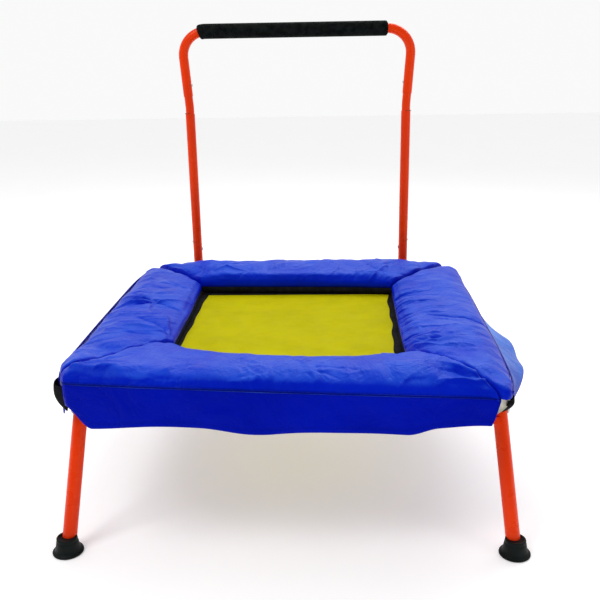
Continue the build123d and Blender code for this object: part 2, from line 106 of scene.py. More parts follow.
def curve(points, count):
    """`count` evenly spaced points on a smooth line through the given ones."""
    p = np.array(points, float)
    p = np.vstack([2 * p[0] - p[1], p, 2 * p[-1] - p[-2]])
    out = []
    for i in range(1, len(p) - 2):
        t = np.linspace(0, 1, 24, endpoint=False)[:, None]
        a, b, c, d = p[i - 1:i + 3]
        out.append(0.5 * (2 * b + (c - a) * t + (2 * a - 5 * b + 4 * c - d) * t**2
                          + (3 * b - a - 3 * c + d) * t**3))
    out = np.vstack(out + [p[-2:-1]])
    reach = np.concatenate([[0], np.cumsum(np.linalg.norm(np.diff(out, axis=0), axis=1))])
    at = np.linspace(0, reach[-1], count)
    return np.stack([np.interp(at, reach, out[:, k]) for k in range(out.shape[1])], 1)


def grid_faces(rows, columns, wrap_rows=False, wrap_columns=False):
    r = np.arange(rows if wrap_rows else rows - 1)
    c = np.arange(columns if wrap_columns else columns - 1)
    a, b = (m.ravel() for m in np.meshgrid(r, c, indexing="ij"))
    a2, b2 = (a + 1) % rows, (b + 1) % columns
    quads = np.stack([a * columns + b, a2 * columns + b, a2 * columns + b2, a * columns + b2], 1)
    return [tuple(q) for q in quads.tolist()]


def build(name, parts, materials, uv=None):
    """One smooth-shaded mesh from (points, faces, material index) parts, moved into the row frame."""
    verts, faces, indices = [], [], []
    for points, part_faces, index in parts:
        faces += [tuple(i + len(verts) for i in f) for f in part_faces]
        indices += [index] * len(part_faces)
        verts += np.asarray(points, float).reshape(-1, 3).tolist()
    mesh = bpy.data.meshes.new(name)
    mesh.from_pydata(verts, [], faces)
    mesh.transform(Matrix.Translation((0, FOLD.y, 0)))
    for m in materials:
        mesh.materials.append(m)
    mesh.polygons.foreach_set("material_index", indices)
    mesh.polygons.foreach_set("use_smooth", [True] * len(faces))
    if uv is not None:
        layer = mesh.uv_layers.new(name="UVMap")
        corner = np.zeros(len(mesh.loops), int)
        mesh.loops.foreach_get("vertex_index", corner)
        layer.data.foreach_set("uv", np.asarray(uv, float)[corner].ravel())
    face_outward(mesh)
    obj = bpy.data.objects.new(name, mesh)
    bpy.context.scene.collection.objects.link(obj)
    return obj


def sweep(path, radius, sides=32, closed=False):
    """Rings of points round a path, with the ring turned as little as possible from one to the next."""
    path = np.array(path, float)
    radius = np.broadcast_to(np.asarray(radius, float), (len(path),))
    if closed:
        tangent = np.roll(path, -1, 0) - np.roll(path, 1, 0)
    else:
        tangent = np.gradient(path, axis=0)
    tangent /= np.linalg.norm(tangent, axis=1)[:, None]
    side = np.cross(tangent[0], (0.0, 0.0, 1.0))
    if np.linalg.norm(side) < 1e-3:
        side = np.cross(tangent[0], (0.0, 1.0, 0.0))
    angle = np.linspace(0, 2 * math.pi, sides, endpoint=False)
    rings = []
    for p, t, r in zip(path, tangent, radius):
        side = side - t * (side @ t)
        side /= np.linalg.norm(side)
        other = np.cross(t, side)
        rings.append(p + r * (np.cos(angle)[:, None] * side + np.sin(angle)[:, None] * other))
    return np.array(rings)


def swept(path, radius, sides=32, closed=False):
    rings = sweep(path, radius, sides, closed)
    count = len(rings)
    faces = grid_faces(count, sides, closed, True)
    if not closed:
        faces += [tuple(range(sides))[::-1], tuple(range((count - 1) * sides, count * sides))]
    return rings.reshape(-1, 3), faces, 0


def lathe(profile, centre, sides=48):
    """A turned body that stands upright: profile holds (radius, height)."""
    profile = np.array(profile, float)
    angle = np.linspace(0, 2 * math.pi, sides, endpoint=False)
    points = np.stack([np.outer(profile[:, 0], np.cos(angle)), np.outer(profile[:, 0], np.sin(angle)),
                       np.repeat(profile[:, 1:2], sides, 1)], -1)
    faces = grid_faces(len(profile), sides, False, True)
    faces += [tuple(range(sides))[::-1], tuple(range((len(profile) - 1) * sides, len(profile) * sides))]
    return points.reshape(-1, 3) + np.array(centre), faces, 0


def coords(obj):
    co = np.zeros(len(obj.data.vertices) * 3)
    obj.data.vertices.foreach_get("co", co)
    return co.reshape(-1, 3)


def set_coords(obj, co):
    obj.data.vertices.foreach_set("co", np.asarray(co, float).ravel())
    obj.data.update()


def normals(obj):
    n = np.zeros(len(obj.data.vertices) * 3)
    obj.data.vertices.foreach_get("normal", n)
    return n.reshape(-1, 3)


def face_outward(mesh):
    shape = bmesh.new()
    shape.from_mesh(mesh)
    bmesh.ops.recalc_face_normals(shape, faces=shape.faces)
    shape.to_mesh(mesh)
    shape.free()


def apply_modifiers(obj):
    dg = bpy.context.evaluated_depsgraph_get()
    mesh = bpy.data.meshes.new_from_object(obj.evaluated_get(dg))
    obj.modifiers.clear()
    obj.data = mesh


def thicken(obj, thickness):
    solid = obj.modifiers.new("thickness", "SOLIDIFY")
    solid.thickness = thickness
    solid.offset = 0
    apply_modifiers(obj)
    face_outward(obj.data)


# ---------------------------------------------------------------- materials
class Nodes:
    """A material's node tree, with short calls for the nodes that every finish here uses."""

    def __init__(self, name, rough, **sockets):
        self.material = bpy.data.materials.new(name)
        self.material.use_nodes = True
        self.tree = self.material.node_tree
        self.shader = self.tree.nodes["Principled BSDF"]
        self.shader.inputs["Roughness"].default_value = rough
        for socket, value in sockets.items():
            self.shader.inputs[socket.replace("_", " ")].default_value = value
        self.place = self.tree.nodes.new("ShaderNodeTexCoord").outputs["Object"]
        self.normal = None

    def link(self, output, socket):
        self.tree.links.new(output, socket)

    def noise(self, scale, detail=4.0, rough=0.55, distortion=0.0):
        node = self.tree.nodes.new("ShaderNodeTexNoise")
        node.inputs["Scale"].default_value = scale
        node.inputs["Detail"].default_value = detail
        node.inputs["Roughness"].default_value = rough
        node.inputs["Distortion"].default_value = distortion
        self.link(self.place, node.inputs["Vector"])
        return node.outputs["Fac"]

    def math(self, operation, a, b=None):
        node = self.tree.nodes.new("ShaderNodeMath")
        node.operation = operation
        for socket, value in zip(node.inputs, (a, b)):
            if isinstance(value, (int, float)):
                socket.default_value = value
            elif value is not None:
                self.link(value, socket)
        return node.outputs[0]

    def ramp(self, value, stops):
        node = self.tree.nodes.new("ShaderNodeValToRGB")
        node.color_ramp.interpolation = "EASE"
        while len(node.color_ramp.elements) < len(stops):
            node.color_ramp.elements.new(0.5)
        for element, (position, colour) in zip(node.color_ramp.elements, stops):
            element.position = position
            element.color = (*colour, 1) if hasattr(colour, "__len__") else (colour, colour, colour, 1)
        self.link(value, node.inputs["Fac"])
        return node.outputs["Color"]

    def mix(self, factor, a, b):
        node = self.tree.nodes.new("ShaderNodeMix")
        node.data_type = "RGBA"
        for socket, value in ((node.inputs[0], factor), (node.inputs[6], a), (node.inputs[7], b)):
            if isinstance(value, (int, float)):
                socket.default_value = value
            elif hasattr(value, "is_output"):
                self.link(value, socket)
            else:
                socket.default_value = (*value, 1)
        return node.outputs[2]

    def bump(self, height, distance, strength=1.0):
        node = self.tree.nodes.new("ShaderNodeBump")
        node.inputs["Distance"].default_value = distance
        node.inputs["Strength"].default_value = strength
        self.link(height, node.inputs["Height"])
        if self.normal:
            self.link(self.normal, node.inputs["Normal"])
        self.normal = node.outputs["Normal"]
        self.link(self.normal, self.shader.inputs["Normal"])

    def colour(self, output):
        self.link(output, self.shader.inputs["Base Color"])

    def roughness(self, output):
        self.link(output, self.shader.inputs["Roughness"])


def orange_paint():
    n = Nodes("orange_powder_coat", 0.3, Coat_Weight=0.08, Coat_Roughness=0.12, Specular_IOR_Level=0.32,
              Specular_Tint=(1.0, 0.42, 0.22, 1.0))
    n.colour(n.ramp(n.noise(9, 3), [(0.3, (0.76, 0.032, 0.001)), (0.7, (0.84, 0.041, 0.0015))]))
    n.roughness(n.ramp(n.noise(40, 5), [(0.3, 0.24), (0.75, 0.38)]))
    n.bump(n.noise(420, 2), 0.00005)
    return n.material


def zinc():
    n = Nodes("zinc_plated_steel", 0.35, Metallic=1.0)
    n.colour(n.ramp(n.noise(120, 4), [(0.3, (0.42, 0.43, 0.44)), (0.7, (0.66, 0.66, 0.65))]))
    n.roughness(n.ramp(n.noise(260, 4), [(0.3, 0.25), (0.7, 0.45)]))
    n.bump(n.noise(900, 3), 0.00006)
    return n.material


def black_moulding(name, rough, tint, grain, depth):
    n = Nodes(name, rough, Specular_IOR_Level=0.10)
    n.colour(n.ramp(n.noise(35, 4), [(0.3, tint), (0.75, tuple(2.2 * c for c in tint))]))
    n.roughness(n.ramp(n.noise(60, 4), [(0.3, rough - 0.08), (0.75, rough + 0.1)]))
    n.bump(n.noise(grain, 3), depth)
    return n.material


def foam():
    n = Nodes("black_foam", 0.75, Specular_IOR_Level=0.03)
    pores = n.tree.nodes.new("ShaderNodeTexVoronoi")
    pores.inputs["Scale"].default_value = 750
    n.link(n.place, pores.inputs["Vector"])
    n.colour(n.ramp(n.noise(70, 5), [(0.3, (0.002, 0.003, 0.003)), (0.75, (0.009, 0.011, 0.0105))]))
    n.roughness(n.ramp(n.noise(90, 4), [(0.3, 0.62), (0.75, 0.85)]))
    n.bump(pores.outputs["Distance"], 0.0004, 0.5)
    n.bump(n.noise(60, 4), 0.0008, 0.5)
    return n.material


def black_cloth(name="black_webbing", scale=1.0):
    n = Nodes(name, 0.8, Specular_IOR_Level=0.05)
    axes = n.tree.nodes.new("ShaderNodeSeparateXYZ")
    n.link(n.place, axes.inputs["Vector"])
    ribs = [n.math("SINE", n.math("MULTIPLY", axes.outputs[k], 2600 * scale)) for k in range(3)]
    weave = n.math("MULTIPLY", n.math("ADD", ribs[0], ribs[2]), ribs[1])
    n.colour(n.ramp(n.noise(60, 4), [(0.3, (0.004, 0.004, 0.005)), (0.75, (0.014, 0.014, 0.016))]))
    n.bump(weave, 0.0002, 0.6)
    n.bump(n.noise(45, 4), 0.0015, 0.5)
    return n.material


def yellow_weave():
    n = Nodes("yellow_jumping_mat", 0.62, Specular_IOR_Level=0.02)
    axes = n.tree.nodes.new("ShaderNodeSeparateXYZ")
    n.link(n.place, axes.inputs["Vector"])
    threads = n.math("MULTIPLY", n.math("SINE", n.math("MULTIPLY", axes.outputs[0], 2400)),
                     n.math("SINE", n.math("MULTIPLY", axes.outputs[1], 2400)))
    patches = n.ramp(n.noise(7, 6, 0.6, 0.6),
                     [(0.32, (0.425, 0.392, 0.0010)), (0.68, (0.495, 0.462, 0.0014))])
    scuffs = n.ramp(n.noise(22, 8, 0.7), [(0.35, (0.365, 0.332, 0.0012)), (0.6, (0.48, 0.44, 0.0012))])
    n.colour(n.mix(0.35, patches, scuffs))
    n.roughness(n.ramp(n.noise(30, 4), [(0.3, 0.52), (0.75, 0.7)]))
    n.bump(threads, 0.00018, 0.7)
    n.bump(n.noise(26, 6), 0.0016, 0.4)
    return n.material


# deep and light are the vinyl's own blue tones; the fourth colour is a painted sheen that surfaces facing up take
# on over the normal-z range in rise.
def vinyl(name, deep, light, painted_sheen_colour, rise, shine, stitched=False):
    n = Nodes(name, 0.4, Specular_IOR_Level=shine, Specular_Tint=(0.10, 0.45, 1.0, 1.0))
    facing = n.tree.nodes.new("ShaderNodeSeparateXYZ")
    n.link(n.tree.nodes.new("ShaderNodeNewGeometry").outputs["Normal"], facing.inputs["Vector"])
    # Painted reflection: upward-facing surfaces are mixed in patches towards the paler colour, standing in for the
    # bright surroundings reflected on the tops.
    painted_sheen_mask = n.ramp(facing.outputs[2], [(rise[0], 0.0), (rise[1], 1.0)])
    painted_sheen_patches = n.ramp(n.noise(11, 5, 0.6, 0.7), [(0.3, 0.45), (0.68, 1.0)])
    n.colour(n.mix(n.math("MULTIPLY", painted_sheen_mask, painted_sheen_patches),
                   n.ramp(n.noise(6, 4), [(0.3, deep), (0.72, light)]), painted_sheen_colour))
    n.roughness(n.ramp(n.noise(24, 5), [(0.3, 0.34), (0.75, 0.48)]))
    wrinkled = n.math("ABSOLUTE", n.math("SUBTRACT", n.noise(15, 5, 0.6, 0.9), 0.5))
    n.bump(n.math("POWER", wrinkled, 0.6), 0.006, 0.55)
    small = n.math("ABSOLUTE", n.math("SUBTRACT", n.noise(52, 4, 0.55, 0.5), 0.5))
    n.bump(small, 0.003, 0.45)
    n.bump(n.noise(1500, 2), 0.00008, 0.5)
    if stitched:
        flat = n.tree.nodes.new("ShaderNodeUVMap")
        parts = n.tree.nodes.new("ShaderNodeSeparateXYZ")
        n.link(flat.outputs["UV"], parts.inputs["Vector"])
        row = n.math("ABSOLUTE", n.math("SUBTRACT", parts.outputs[1], 0.009))
        on_row = n.math("LESS_THAN", row, 0.0011)
        dash = n.math("LESS_THAN", n.math("PINGPONG", parts.outputs[0], 0.0024), 0.0017)
        thread = n.math("MULTIPLY", on_row, dash)
        cut = n.math("LESS_THAN", row, 0.0018)
        n.bump(n.math("SUBTRACT", thread, n.math("MULTIPLY", cut, 0.7)), 0.0009, 0.8)
    return n.material


ORANGE = orange_paint()
ZINC = zinc()
PLASTIC = black_moulding("black_plastic_moulding", 0.42, (0.004, 0.005, 0.005), 700, 0.0001)
RUBBER = black_moulding("black_rubber_foot", 0.5, (0.003, 0.0045, 0.0043), 500, 0.00015)
FOAM = foam()
CLOTH = black_cloth()
YELLOW = yellow_weave()
# The pad's fourth colour is the painted reflection on its upward-facing tops.
BLUE = vinyl("blue_vinyl_pad", (0.0006, 0.008, 0.44), (0.0010, 0.012, 0.52), (0.010, 0.062, 0.58),
             (0.60, 1.0), 0.15)
# The skirts use a darker copy of the pad vinyl, a painted shade for flaps facing away from the light; their pale
# fourth colour is a painted glare where the right skirt flares upward.
BLUE_SKIRT_SHADED = vinyl("blue_vinyl_skirt", (0.0004, 0.003, 0.33), (0.0006, 0.005, 0.41), (0.085, 0.22, 0.72),
                   (0.18, 0.72), 0.07, stitched=True)
# The welt cord uses a much darker copy of the pad vinyl: painted shade standing in for the shadow line along the
# seam; its fourth colour is a painted reflection on its top.
BLUE_WELT_SHADED = vinyl("blue_vinyl_welt", (0.0004, 0.002, 0.16), (0.0006, 0.003, 0.20), (0.002, 0.010, 0.30),
                  (0.5, 0.9), 0.1)
CREAM = black_moulding("cream_foam_edge", 0.8, (0.36, 0.34, 0.27), 600, 0.0006)

FINISHES = {"frame_paint": ORANGE, "zinc_steel": ZINC, "black_plastic": PLASTIC, "black_rubber": RUBBER,
            "black_foam": FOAM, "black_cloth": CLOTH, "yellow_mat": YELLOW, "blue_vinyl": BLUE}
SLOT_OF = {part["node"]: part["material_slot"] for part in frame["record"]["subparts"]}
for node_name, node in frame["nodes"].items():
    node.data.materials.clear()
    node.data.materials.append(FINISHES[SLOT_OF[node_name]])


# ---------------------------------------------------------------- pads
# The loop across a pad: share of the way from the inner to the outer edge, and height above the base.
SECTION = [(0.010, 0.0015), (-0.010, 0.006), (-0.016, 0.012), (-0.004, 0.0185), (0.035, 0.0235), (0.10, 0.0285),
           (0.22, 0.0345), (0.38, 0.0390), (0.55, 0.0415), (0.72, 0.0420), (0.85, 0.0405), (0.935, 0.0365),
           (0.982, 0.0300), (1.000, 0.0220), (1.002, 0.0140), (0.985, 0.0060), (0.940, 0.0022), (0.80, 0.0015),
           (0.50, 0.0015), (0.20, 0.0015)]


def pad_mesh(name, inner, outer, height, tilt, taper=0.0, lift=0.0):
    """A crowned closed form between its inner and outer lines, which rounds down at both ends."""
    rows = int(np.linalg.norm(np.diff(outer, axis=0), axis=1).sum() / PAD_STEP)
    width = math.dist(outer[len(outer) // 2], inner[len(inner) // 2])
    columns = int(2.25 * width / PAD_STEP)
    inside, outside = curve(inner, rows), curve(outer, rows)
    loop = np.array(SECTION + SECTION[:1])
    loop = curve(loop * (width, 1.0), columns + 1)[:-1] / (width, 1.0)
    length = np.linalg.norm(np.diff((inside + outside) / 2, axis=0), axis=1).sum()
    run = np.linspace(0, length, rows)
    edge = np.minimum(run, length - run)
    rounding = 1 - 0.26 * (1 - np.sqrt(1 - (1 - np.clip(edge / 0.012, 0, 1)) ** 2))
    rounding *= 1 - taper * smooth(1 - edge / 0.10)
    flat = inside[:, None] + (outside - inside)[:, None] * loop[None, :, :1]
    rise = loop[None, :, 1] * rounding[:, None]
    rise = 0.0015 + (rise - 0.0015) * height
    shoulder = smooth((loop[:, 0] - 0.55) / 0.4)[None] * smooth((rise - 0.002) / 0.01)
    front = smooth((-flat[:, :, 1] - 0.17) / 0.18)
    inner_lift = lift * smooth((0.24 - loop[:, 0]) / 0.2)[None]
    z = PAD_BASE + rise + tilt * flat[:, :, 0] * shoulder * front + inner_lift
    points = np.concatenate([flat, z[:, :, None]], 2)
    faces = grid_faces(rows, columns, False, True)
    faces += [tuple(range(columns))[::-1], tuple(range((rows - 1) * columns, rows * columns))]
    obj = build(name, [(points, faces, 0)], [BLUE])
    hold = np.zeros((rows, columns))
    hold[:, loop[:, 1] < 0.010] = 1.0
    hold[:, loop[:, 0] < 0.05] = 1.0
    hold[:, (loop[:, 1] < 0.0225) & (loop[:, 0] > 0.9)] = 1.0
    hold[:2] = hold[-2:] = 1.0
    group = obj.vertex_groups.new(name="sewn")
    for i in np.nonzero(hold.ravel())[0].tolist():
        group.add([i], 1.0, "REPLACE")
    return obj


def inflate(obj, slack, reach):
    """Cloth simulation of the sewn cover over its foam: the seams stay and the slack top lifts a little."""
    rest = coords(obj)
    cloth = obj.modifiers.new("cloth", "CLOTH")
    cloth.settings.vertex_group_mass = "sewn"
    cloth.settings.quality = 5
    cloth.settings.mass = 0.25
    cloth.settings.tension_stiffness = 30
    cloth.settings.compression_stiffness = 12
    cloth.settings.bending_stiffness = 0.25
    cloth.settings.shrink_min = -slack
    cloth.settings.shrink_max = -slack
    cloth.settings.use_pressure = True
    cloth.settings.uniform_pressure_force = 4
    cloth.settings.effector_weights.gravity = 0
    cloth.point_cache.frame_start = 1
    cloth.point_cache.frame_end = SIM_STEPS
    for step in range(1, SIM_STEPS + 1):
        bpy.context.scene.frame_set(step)
    apply_modifiers(obj)
    bpy.context.scene.frame_set(1)
    move = coords(obj) - rest
    far = np.linalg.norm(move, axis=1)[:, None] + 1e-9
    set_coords(obj, rest + move * (reach * np.tanh(far / reach) / far))


def subdivide(obj):
    rounder = obj.modifiers.new("rounder", "SUBSURF")
    rounder.levels = 1
    apply_modifiers(obj)
    obj.data.polygons.foreach_set("use_smooth", [True] * len(obj.data.polygons))


def crumple(obj, folds, seed, depth=0.0013):
    """Sharp folds and soft dents of slack vinyl, pushed along the normal of the top of the pad."""
    co, n = coords(obj), normals(obj)
    x, y = co[:, 0], co[:, 1] - FOLD.y
    top = smooth((co[:, 2] - PAD_BASE - 0.006) / 0.012) * smooth((n[:, 2] - 0.15) / 0.5)
    wx = x + 0.010 * waves(x, y, 0.045, seed + 1) + 0.003 * waves(x, y, 0.015, seed + 2)
    wy = y + 0.010 * waves(x, y, 0.045, seed + 3) + 0.003 * waves(x, y, 0.015, seed + 4)
    push = depth * waves(wx, wy, 0.055, seed + 5) + 0.5 * depth * waves(wx, wy, 0.024, seed + 6)
    for start, end, width, size in folds:
        push += size * fold_line(wx, wy, start, end, width)
    set_coords(obj, co + n * (push * top)[:, None])


def scattered(seed, count, low, high, length, direction, spread, size, width=0.0035):
    """Short random folds in a rectangle, lying about one direction (radians)."""
    random = np.random.default_rng(seed)
    folds = []
    for _ in range(count):
        x, y = random.uniform(low, high)
        angle = direction + random.normal(0, spread)
        half = 0.5 * length * random.uniform(0.5, 1.4)
        dx, dy = half * math.cos(angle), half * math.sin(angle)
        folds.append(((x - dx, y - dy), (x + dx, y + dy), width * random.uniform(0.6, 1.6),
                      size * random.choice([-1, 1]) * random.uniform(0.4, 1.0)))
    return folds


def fan(centre, reach, angles, size, width=0.004):
    """Folds that run out of one point."""
    return [(centre, (centre[0] + reach * math.cos(a), centre[1] + reach * math.sin(a)), width,
             FAN_BOOST * size * s) for a, s in angles]


def across_fold(obj):
    """Bakes a side piece's placement into its mesh and reads its points."""
    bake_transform(obj)
    co = coords(obj)


PADS = {
    "front": dict(
        inner=[(-0.227, -0.140), (-0.185, -0.180), (-0.125, -0.209), (-0.045, -0.232), (0.03, -0.241),
               (0.12, -0.236), (0.180, -0.219), (0.214, -0.200)],
        outer=[(-0.375, -0.344), (-0.366, -0.364), (-0.335, -0.371), (-0.10, -0.374), (0.12, -0.374),
               (0.30, -0.372), (0.336, -0.374), (0.348, -0.383)],
        height=0.93, tilt=-0.038, lift=-0.0035),
    "rear": dict(
        inner=[(0.221, 0.222), (0.12, 0.232), (0.0, 0.237), (-0.12, 0.240), (-0.230, 0.244)],
        outer=[(0.352, 0.348), (0.335, 0.364), (0.15, 0.370), (0.0, 0.371), (-0.15, 0.370), (-0.335, 0.364),
               (-0.352, 0.348)],
        height=1.16, tilt=0.0, taper=0.18, lift=0.007),
    "left": dict(
        inner=[(-0.230, 0.243), (-0.228, 0.15), (-0.226, 0.05), (-0.227, -0.06), (-0.227, -0.139)],
        outer=[(-0.372, 0.345), (-0.382, 0.310), (-0.387, 0.16), (-0.391, 0.0), (-0.392, -0.16),
               (-0.389, -0.29),
               (-0.376, -0.343)],
        height=0.88, tilt=-0.038),
    "right": dict(
        inner=[(0.214, -0.199), (0.214, -0.10), (0.215, 0.0), (0.217, 0.11), (0.220, 0.221)],
        outer=[(0.350, -0.384), (0.366, -0.374), (0.377, -0.31), (0.381, -0.18), (0.383, 0.0), (0.385, 0.18),
               (0.386, 0.31), (0.374, 0.345)],
        height=0.88, tilt=-0.020),
}
FOLDS = {
    "front": scattered(11, 46, (-0.10, -0.352), (0.32, -0.25), 0.075, 1.2, 0.7, 0.0024, 0.0035)
    + scattered(12, 26, (-0.33, -0.365), (0.30, -0.335), 0.08, 0.1, 0.35, 0.0020, 0.0035)
    + fan((0.338, -0.352), 0.11, [(2.6, 1), (2.85, -1), (2.3, 1), (3.2, 1), (2.0, -1)], 0.0048, 0.0045)
    + fan((0.205, -0.222), 0.10, [(-2.4, 1), (-1.9, -1), (-2.9, 1)], 0.0018, 0.005)
    + fan((-0.362, -0.340), 0.12, [(0.3, 1), (0.7, -1), (-0.05, 1)], 0.0038, 0.005),
    "rear": scattered(21, 40, (-0.30, 0.255), (0.32, 0.32), 0.09, 0.7, 0.5, 0.0026, 0.0040)
    + fan((-0.235, 0.255), 0.16, [(0.35, 1), (0.8, -1), (1.3, 1)], 0.0018, 0.006)
    + fan((0.225, 0.235), 0.16, [(1.9, 1), (2.4, -1), (2.8, 1)], 0.0018, 0.006),
    "left": fan((-0.298, 0.054), 0.10, [(3.5, 1), (3.15, -1.2), (2.8, 1), (2.4, -0.8), (3.9, -0.9), (0.3, 0.7),
                                        (-0.5, -0.7)], 0.0056, 0.0048)
    + [((-0.298, 0.072), (-0.290, -0.050), 0.0045, -0.0060)]
    + scattered(31, 46, (-0.38, -0.28), (-0.25, 0.30), 0.08, 0.15, 0.3, 0.0026, 0.0032)
    + fan((-0.232, -0.125), 0.14, [(1.9, 1), (2.4, -1), (2.9, 1)], 0.0045, 0.005),
    "right": [((0.388, -0.084), (0.235, -0.050), 0.0050, -0.0070),
              ((0.222, -0.105), (0.395, -0.135), 0.010, 0.0050)]
    + scattered(41, 80, (0.222, -0.28), (0.330, 0.29), 0.12, 0.05, 0.13, 0.0036, 0.0032)
    + fan((0.218, -0.195), 0.17, [(0.1, 1), (0.4, -1), (-0.35, 1), (0.75, 1)], 0.0030, 0.005),
}
for side, spec in PADS.items():
    cover = pad_mesh(f"{side}_cover", **spec)
    inflate(cover, COVER_SLACK, COVER_REACH)
    subdivide(cover)
    crumple(cover, FOLDS[side], 100 + 10 * len(side))
    if side in ("front", "rear"):
        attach(cover, f"{side}_frame")
        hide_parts(f"{side}_pad")
        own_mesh(cover)
    else:
        across_fold(cover)
        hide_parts(f"{side}_pad_rear", f"{side}_pad_front")


# ---------------------------------------------------------------- skirts and welts
def skirt(name, line, top, bottom, flare, sway, seed, material=BLUE_SKIRT_SHADED, belly=0.0):
    """The flap that hangs from a welt: top, bottom and flare are functions of the way along it."""
    length = np.linalg.norm(np.diff(np.array(line, float), axis=0), axis=1).sum()
    rows, columns = int(length / 0.004), 22
    path = curve(line, rows)
    along = np.gradient(path, axis=0)
    along /= np.linalg.norm(along, axis=1)[:, None]
    out = np.stack([along[:, 1], -along[:, 0]], 1)
    run = np.linspace(0, length, rows)
    share = np.linspace(0, 1, columns)
    high, low = top(path, run / length), bottom(path, run / length)
    z = high[:, None] + (low - high)[:, None] * share[None]
    drift = flare(path, run / length)[:, None] * share[None] ** 1.3
    drift = drift + belly * np.sin(math.pi * share)[None]
    drift = drift + sway * share[None] ** 1.5 * waves(run, 0 * run, 0.075, seed)[:, None]
    fine = waves(run[:, None] + 0 * z, z, 0.03, seed + 1)
    drift = drift + 0.35 * sway * fine * np.sin(math.pi * share)[None]
    flat = path[:, None] + out[:, None] * drift[:, :, None]
    points = np.concatenate([flat, z[:, :, None]], 2)
    uv = np.stack([np.repeat(run, columns), (z - low[:, None]).ravel()], 1)
    obj = build(name, [(points, grid_faces(rows, columns), 0)], [material], uv)
    area = sum(p.area for p in obj.data.polygons)
    thicken(obj, 0.0012)
    return obj, length, float((high - low).max()), area


def welt(name, line, top):
    path = curve(line, int(np.linalg.norm(np.diff(np.array(line, float), axis=0), axis=1).sum() / 0.006))
    points = np.concatenate([path, top(path, np.linspace(0, 1, len(path)))[:, None]], 1)
    obj = build(name, [swept(points, 0.0016, 12)], [BLUE_WELT_SHADED])
    return obj


def front_top(path, share):
    return 0.3155 - 0.038 * path[:, 0]


def level_top(path, share):
    return np.full(len(path), 0.3135)


def raised_top(path, share):
    return np.full(len(path), 0.3195)


def front_bottom(path, share):
    x = path[:, 0]
    corner = 0.040 * smooth((-0.322 - x) / 0.044) + 0.055 * smooth((x - 0.335) / 0.018)
    corner = corner + 0.009 * smooth((-0.02 - x) / 0.12)
    return 0.2415 + corner + 0.011 * smooth((x - 0.20) / 0.05) + 0.0025 * np.sin(x * 23)


def level_bottom(path, share):
    ends = smooth((0.05 - share) / 0.05) + smooth((share - 0.95) / 0.05)
    return HEM + 0.030 * ends + 0.002 * np.sin(share * 31)


def right_bottom(path, share):
    return level_bottom(path, share) + 0.032 * smooth((0.75 - share) / 0.3)


def right_flare(path, share):
    return 0.003 + 0.046 * smooth((share - 0.02) / 0.26) * smooth((1 - share) / 0.5)


OUTLINES = {
    "front": ([(-0.366, -0.3675), (-0.335, -0.3725), (-0.10, -0.3755), (0.12, -0.3755), (0.30, -0.3735),
               (0.348, -0.3765)], front_top, front_bottom, lambda p, s: 0.002 + 0 * s, 0.0045),
    "rear": ([(0.350, 0.3625), (0.30, 0.3690), (0.0, 0.3725), (-0.30, 0.3690), (-0.350, 0.3625)],
             level_top, level_bottom, lambda p, s: 0.004 + 0 * s, 0.005),
    "left": ([(-0.3800, 0.336), (-0.3895, 0.25), (-0.3935, 0.08), (-0.3960, -0.10), (-0.3950, -0.27),
              (-0.3830, -0.334)], raised_top, level_bottom, lambda p, s: 0.012 * np.sin(math.pi * s), 0.006),
    "right": ([(0.367, -0.372), (0.378, -0.31), (0.383, -0.18), (0.385, 0.0), (0.387, 0.18), (0.380, 0.340)],
              level_top, right_bottom, right_flare, 0.005),
}
for side, (line, top, bottom, flare, sway) in OUTLINES.items():
    flap, length, drop, area = skirt(f"{side}_cover_skirt", line, top, bottom, flare, sway, 60 + len(side))
    cord_edge = welt(f"{side}_cover_welt", line, top)
    for piece in (flap, cord_edge):
        if side in ("front", "rear"):
            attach(piece, f"{side}_frame")
        else:
            across_fold(piece)


def corner_top(path, share):
    return 0.3085 - 0.034 * path[:, 0] * smooth((-path[:, 1] - 0.17) / 0.18)


def corner_bottom(path, share):
    return 0.282 - 0.014 * np.sin(math.pi * share)


CORNERS = {
    "front_left": [(-0.3860, -0.318), (-0.3875, -0.340), (-0.3810, -0.3580), (-0.3630, -0.3655)],
    "front_right": [(0.360, -0.3690), (0.3690, -0.3640), (0.3740, -0.350), (0.3750, -0.330)],
    "rear_right": [(0.3800, 0.330), (0.3840, 0.350), (0.3740, 0.3640), (0.3460, 0.3640)],
    "rear_left": [(-0.3460, 0.3640), (-0.3740, 0.3640), (-0.3850, 0.350), (-0.3820, 0.330)],
}
for corner, line in CORNERS.items():
    half = corner.split("_")[0]
    gusset, length, drop, area = skirt(f"{corner}_gusset", line, corner_top, corner_bottom,
                                       lambda p, s: -0.016 + 0 * s, 0.001, 80 + len(corner), CLOTH,
                                       belly=0.006)
    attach(gusset, f"{half}_frame")
    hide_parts(f"{half}_corner_gussets")

lining, length, drop, area = skirt(
    "front_right_lining", [(0.342, -0.3700), (0.350, -0.3700), (0.358, -0.3670), (0.366, -0.3610)],
    lambda p, s: 0.309 + 0 * s, lambda p, s: 0.272 + 0.016 * s, lambda p, s: 0 * s, 0.002, 91,
    CREAM)
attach(lining, "front_frame")


